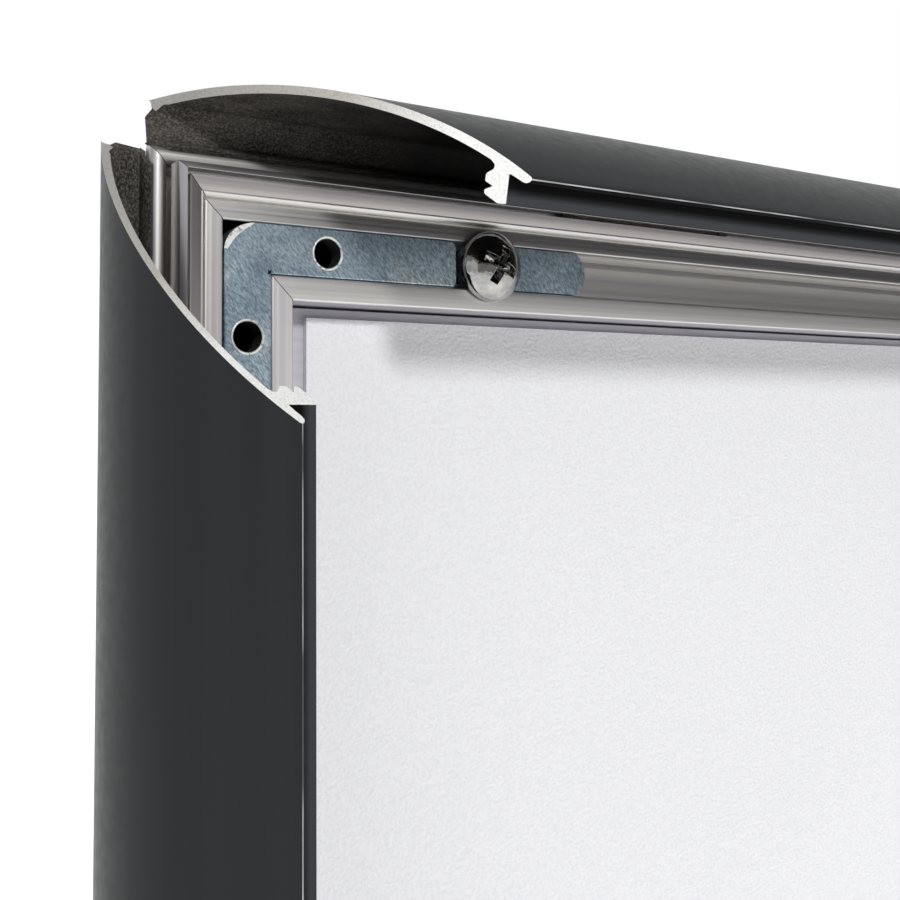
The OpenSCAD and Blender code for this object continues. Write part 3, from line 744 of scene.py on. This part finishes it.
def add_bracket(bm, place):
    """One bracket. Materials: 0 zinc, 1 sheared edge, 2 hole wall in painted shade."""
    top, bottom = BRACKET_TOP, BRACKET_TOP - BRACKET_T
    points = bracket_outline()

    def ring(flat, heights):
        return [
            bm.verts.new(place @ (Vector((x + BRACKET_PLAY, y + BRACKET_PLAY, z)) * MM))
            for (x, y), z in zip(flat, heights)
        ]

    def skirt(upper, lower, materials):
        for face, material in zip(bridge(bm, upper, lower), materials):
            face.material_index = material

    flat = [p[:2] for p in points]
    edge = [top - p[2] * 0.75 for p in points]
    crown = ring(inset(points), [top] * len(points))
    shoulder, foot = ring(flat, edge), ring(flat, [bottom] * len(points))
    skirt(crown, shoulder, [1 if p[2] > 0.3 else 0 for p in points])
    skirt(shoulder, foot, [0] * len(points))
    upper, lower = [crown], [foot]
    steps = 40
    profile = [(2.12, top), (2.07, top + 0.04), (2.0, top - 0.03), (1.94, top + 0.02)]
    profile += [(HOLE_R, top - 0.1), (HOLE_R, bottom)]
    for centre in BRACKET_HOLES:
        circles = [ring(circle(centre, r, steps), [z] * steps) for r, z in profile]
        for a, b, material in zip(circles, circles[1:], (1, 1, 1, 1, 2)):
            skirt(a, b, [material] * steps)
        upper.append(circles[0])
        lower.append(circles[-1])
    for loops in (upper, lower):
        flat_loops = [[(place.inverted() @ v.co).to_2d().to_3d() for v in loop] for loop in loops]
        verts = [v for loop in loops for v in loop]
        for corners in tessellate_polygon(flat_loops):
            bm.faces.new([verts[c] for c in corners])


def make_brackets(panel):
    bm = bmesh.new()
    half = panel_width(panel) / 2
    for left in (1, -1):
        for up in (1, -1):
            x_axis, y_axis = Vector((left, 0, 0)), Vector((0, -up, 0))
            height = FRAME_H - CHANNEL_START if up > 0 else CHANNEL_START
            at = Vector((-left * (half - CHANNEL_START), height, 0))
            m = Matrix((x_axis, y_axis, Vector((0, 0, 1)))).transposed().to_4x4()
            m.translation = at * MM
            add_bracket(bm, panel_matrix(panel) @ m)
    bmesh.ops.recalc_face_normals(bm, faces=bm.faces)
    name = f"{panel}_bracket_set"
    mesh = to_mesh(bm, name, ("zinc_steel", "sheared_edge", "hole_shade"))
    add_piece(name, mesh, f"{panel}_panel", f"{panel}_corner_brackets", 30)


def screw_places(panel):
    """Axis of each screw in the panel frame, read from where the CAD screws stand."""
    screws = frame["nodes"][f"{panel}_frame_screws"]
    to_panel = panel_matrix(panel).inverted() @ screws.matrix_world
    near = 10 * MM
    places = []
    for vert in screws.data.vertices:
        p = to_panel @ vert.co
        for box in places:
            if abs(p.x - box[0]) < near and abs(p.y - box[2]) < near:
                box[0], box[1] = min(box[0], p.x), max(box[1], p.x)
                box[2], box[3] = min(box[2], p.y), max(box[3], p.y)
                break
        else:
            places.append([p.x, p.x, p.y, p.y])
    return [Vector(((b[0] + b[1]) / 2, (b[2] + b[3]) / 2, 0)) / MM for b in places]


HEAD_R, HEAD_H, HEAD_RIM, SEAT = 4.75, 3.2, 0.9, 0.2
SHANK_R, SHANK_LENGTH, THREAD = 2.5, 15.2, 0.8
CROSS_REACH, CROSS_HALF, CROSS_DEPTH = 2.65, 0.68, 2.0
SCREW_SPIN, SPIN_STEP = 28, 37  # degrees: the first screw, and each one after it
CROWN_STEPS, CROWN_SHARE = 18, 0.955
SHANK_SIDES = 24


def dome(r):
    """Height of the pan head's crown over its seat."""
    rise = HEAD_H - HEAD_RIM
    ball = (HEAD_R * HEAD_R + rise * rise) / (2 * rise)
    return HEAD_RIM + math.sqrt(max(ball * ball - r * r, 0)) - (ball - rise)


CROSS_TURN = math.degrees(math.atan2(CROSS_HALF, CROSS_REACH))


def cross_angles():
    """Angles round the head, close together where the cross recess turns its corners."""
    near = (-CROSS_TURN, -CROSS_TURN / 2, 0, CROSS_TURN / 2, CROSS_TURN)
    quarter = (-45, -41, -34, -27, -20.5, *near, 20.5, 27, 34, 41)
    return [math.radians(90 * arm + a) for arm in range(4) for a in quarter]


def cross_radius(angle):
    """How far the cross recess reaches in a direction."""
    off = abs((math.degrees(angle) + 45) % 90 - 45)
    if off <= CROSS_TURN + 1e-6:
        return CROSS_REACH / math.cos(math.radians(off))
    return CROSS_HALF / math.sin(math.radians(off))


def head_stations(edge):
    """Rings of the head from the recess's floor to the shank, as radius and height by angle."""
    recess_floor = [(0.3, 0.25), (0.62, 0.75), (0.86, 0.96)]
    stations = [
        [(r * share, HEAD_H - CROSS_DEPTH * (1.12 - 0.3 * lift)) for r in edge]
        for share, lift in recess_floor
    ]
    stations.append([(r * 0.97, dome(r) - 0.1) for r in edge])
    stations.append([(r, dome(r) - 0.02) for r in edge])
    stations.append([(r + 0.06, dome(r + 0.06)) for r in edge])
    for k in range(1, CROWN_STEPS + 1):
        radii = [r + (HEAD_R * CROWN_SHARE - r) * k / CROWN_STEPS for r in edge]
        stations.append([(r, dome(r)) for r in radii])
    skirt = [(4.64, HEAD_RIM + 0.1), (4.73, HEAD_RIM - 0.08), (HEAD_R, HEAD_RIM - 0.3)]
    skirt += [(HEAD_R, 0.2), (4.68, 0.04), (4.55, 0), (SHANK_R, 0)]
    return stations + [[pair] * len(edge) for pair in skirt]


def shank_profile():
    """Radius and height down the threaded shank."""
    profile, z = [(SHANK_R, 0.1)], 0.0
    while z < SHANK_LENGTH - THREAD:
        profile += [(SHANK_R, -z - 0.1), (SHANK_R - 0.38, -z - THREAD / 2)]
        z += THREAD
    return profile + [(SHANK_R, -z - 0.1), (SHANK_R - 0.5, -SHANK_LENGTH)]


def add_screw(bm, place, spin):
    """A pan head with its recess and a threaded shank, two closed shells."""
    turn = place @ Matrix.Rotation(spin, 4, "Z")

    def ring(points, z_values):
        return [
            bm.verts.new(turn @ (Vector((x, y, SEAT + z)) * MM))
            for (x, y), z in zip(points, z_values)
        ]

    def closed(rings):
        bm.faces.new(rings[0])
        for a, b in zip(rings, rings[1:]):
            bridge(bm, a, b)
        bm.faces.new(rings[-1])

    angles = cross_angles()
    head = []
    for station in head_stations([cross_radius(a) for a in angles]):
        points = [(r * math.cos(a), r * math.sin(a)) for a, (r, _z) in zip(angles, station)]
        head.append(ring(points, [z for _r, z in station]))
    closed(head)
    closed([ring(circle((0, 0), r, SHANK_SIDES), [z] * SHANK_SIDES) for r, z in shank_profile()])


def make_screws(panel):
    bm = bmesh.new()
    for k, at in enumerate(screw_places(panel)):
        place = panel_matrix(panel) @ Matrix.Translation(at * MM)
        add_screw(bm, place, math.radians(SCREW_SPIN + SPIN_STEP * k))
    bmesh.ops.recalc_face_normals(bm, faces=bm.faces)
    name = f"{panel}_screw_set"
    mesh = to_mesh(bm, name, ("polished_screw",))
    add_piece(name, mesh, f"{panel}_panel", f"{panel}_frame_screws", 40)


for panel in PANELS:
    for side in SIDES:
        make_base_side(panel, side)
        make_cover(panel, side)
    make_brackets(panel)
    make_screws(panel)
    dress(f"{panel}_leaf_springs", "spring_steel")
    dress(f"{panel}_fixing_plates", "zinc_steel", 0.15)
    dress(f"{panel}_frame_nuts", "plated_nut", 0.2)
    dress(f"{panel}_back_panel", "back_board", 0.2)
    dress(f"{panel}_poster_sheet", "white_sheet", 0.1)
    for hand in ("left", "right"):
        dress(f"{panel}_{hand}_leg", "leg_aluminium", 0.8, 3)
        dress(f"{panel}_{hand}_foot", "foot_rubber", 1.2, 3)
    dress(f"{panel}_hinge_leaves", "black_steel", 0.4)
dress("hinge_pins", "plated_nut", 0.3)
dress("front_stay_brackets", "black_steel", 0.4)
dress("rear_stay_tracks", "black_steel", 0.4)
dress("stay_pivot_rivets", "plated_nut", 0.5, 3)
for hand in ("left", "right"):
    dress(f"{hand}_stay", "black_steel", 0.4)
    dress(f"{hand}_stay_pin", "plated_nut", 0.5, 3)

# ---------- stage, light and camera ----------


def make_floor():
    """A wide round pale floor."""
    bm = bmesh.new()
    bm.faces.new([bm.verts.new((x, y, 0)) for x, y in circle((0, 0), 14, 96)])
    mesh = to_mesh(bm, "floor")
    floor = bpy.data.objects.new("floor", mesh)
    bpy.context.scene.collection.objects.link(floor)
    mat, tree, shader = new_material("pale_floor", Roughness=0.9)
    cloud = noise_tex(tree, coords(tree, (3, 3, 3)), 2.0, 0.5)
    feed(shader, Base_Color=ramp(tree, cloud, [(0.3, grey(0.9)), (0.7, grey(0.93))]))
    shader.inputs["Emission Color"].default_value = (1, 1, 1, 1)
    shader.inputs["Emission Strength"].default_value = 0.46
    mesh.materials.append(mat)


# Grey of the studio by direction: 0 faces the sign's front, 1 its back
WORLD_GREYS = [(0.0, grey(0.27)), (0.25, grey(0.4)), (0.42, grey(0.34)), (0.6, grey(1.0))]


def area_light(name, place, target, size, power):
    data = bpy.data.lights.new(name, "AREA")
    data.shape = "DISK"
    data.size = size
    data.energy = power
    obj = bpy.data.objects.new(name, data)
    obj.location = place
    obj.rotation_mode = "QUATERNION"
    obj.rotation_quaternion = (Vector(target) - Vector(place)).to_track_quat("-Z", "Y")
    bpy.context.scene.collection.objects.link(obj)


def make_light():
    """A soft key above, a weak fill, a small light that glints on the metal, and the studio."""
    corner = Vector((-0.3, -0.05, 1.0))
    key = Vector((-0.12, -0.725, 0.68)).normalized()
    area_light("key", corner + key * 4.0, corner, 0.5, 92)
    area_light("fill", corner + Vector((-2.6, -2.0, 0.3)), corner, 2.2, 6)
    area_light("gloss", corner + Vector((1.75, -2.7, 0.6)), corner, 0.9, 2.2)
    world = bpy.context.scene.world or bpy.data.worlds.new("World")
    bpy.context.scene.world = world
    world.use_nodes = True
    tree = world.node_tree
    split = tree.nodes.new("ShaderNodeSeparateXYZ")
    tree.links.new(tree.nodes.new("ShaderNodeTexCoord").outputs["Generated"], split.inputs["Vector"])
    sky = ramp(tree, math_node(tree, "MULTIPLY_ADD", split.outputs["Y"], 0.5, 0.5), WORLD_GREYS)
    tree.links.new(sky, tree.nodes["Background"].inputs["Color"])
    tree.nodes["Background"].inputs["Strength"].default_value = 1.0


# The camera stands 134 mm off the face, left of and a little below the channel's outer corner
CAMERA_LEFT, CAMERA_DOWN, CAMERA_OUT = 60.5, 24.5, 134.5
CAMERA_YAW, CAMERA_PITCH, CAMERA_ROLL = 36.84, -3.82, 0.62
CAMERA_LENS = 49.81
CAMERA_SHIFT = (-0.057, -0.1185)


def make_camera():
    data = bpy.data.cameras.new("camera")
    data.lens = CAMERA_LENS
    data.sensor_width = 36
    data.shift_x, data.shift_y = CAMERA_SHIFT
    data.clip_start = 0.005
    camera = bpy.data.objects.new("camera", data)
    bpy.context.scene.collection.objects.link(camera)
    panel = panel_matrix("front")
    left = -panel_width("front") / 2 + CHANNEL_START - CAMERA_LEFT
    at = (left, FRAME_H - CHANNEL_START - CAMERA_DOWN, CAMERA_OUT)
    turn = Matrix.Rotation(math.radians(-CAMERA_YAW), 4, "Y")
    turn @= Matrix.Rotation(math.radians(-CAMERA_PITCH), 4, "X")
    turn @= Matrix.Rotation(math.radians(-CAMERA_ROLL), 4, "Z")
    camera.matrix_world = panel @ Matrix.Translation(Vector(at) * MM) @ turn
    bpy.context.scene.camera = camera


make_floor()
make_light()
make_camera()
bpy.context.scene.view_settings.view_transform = "Standard"
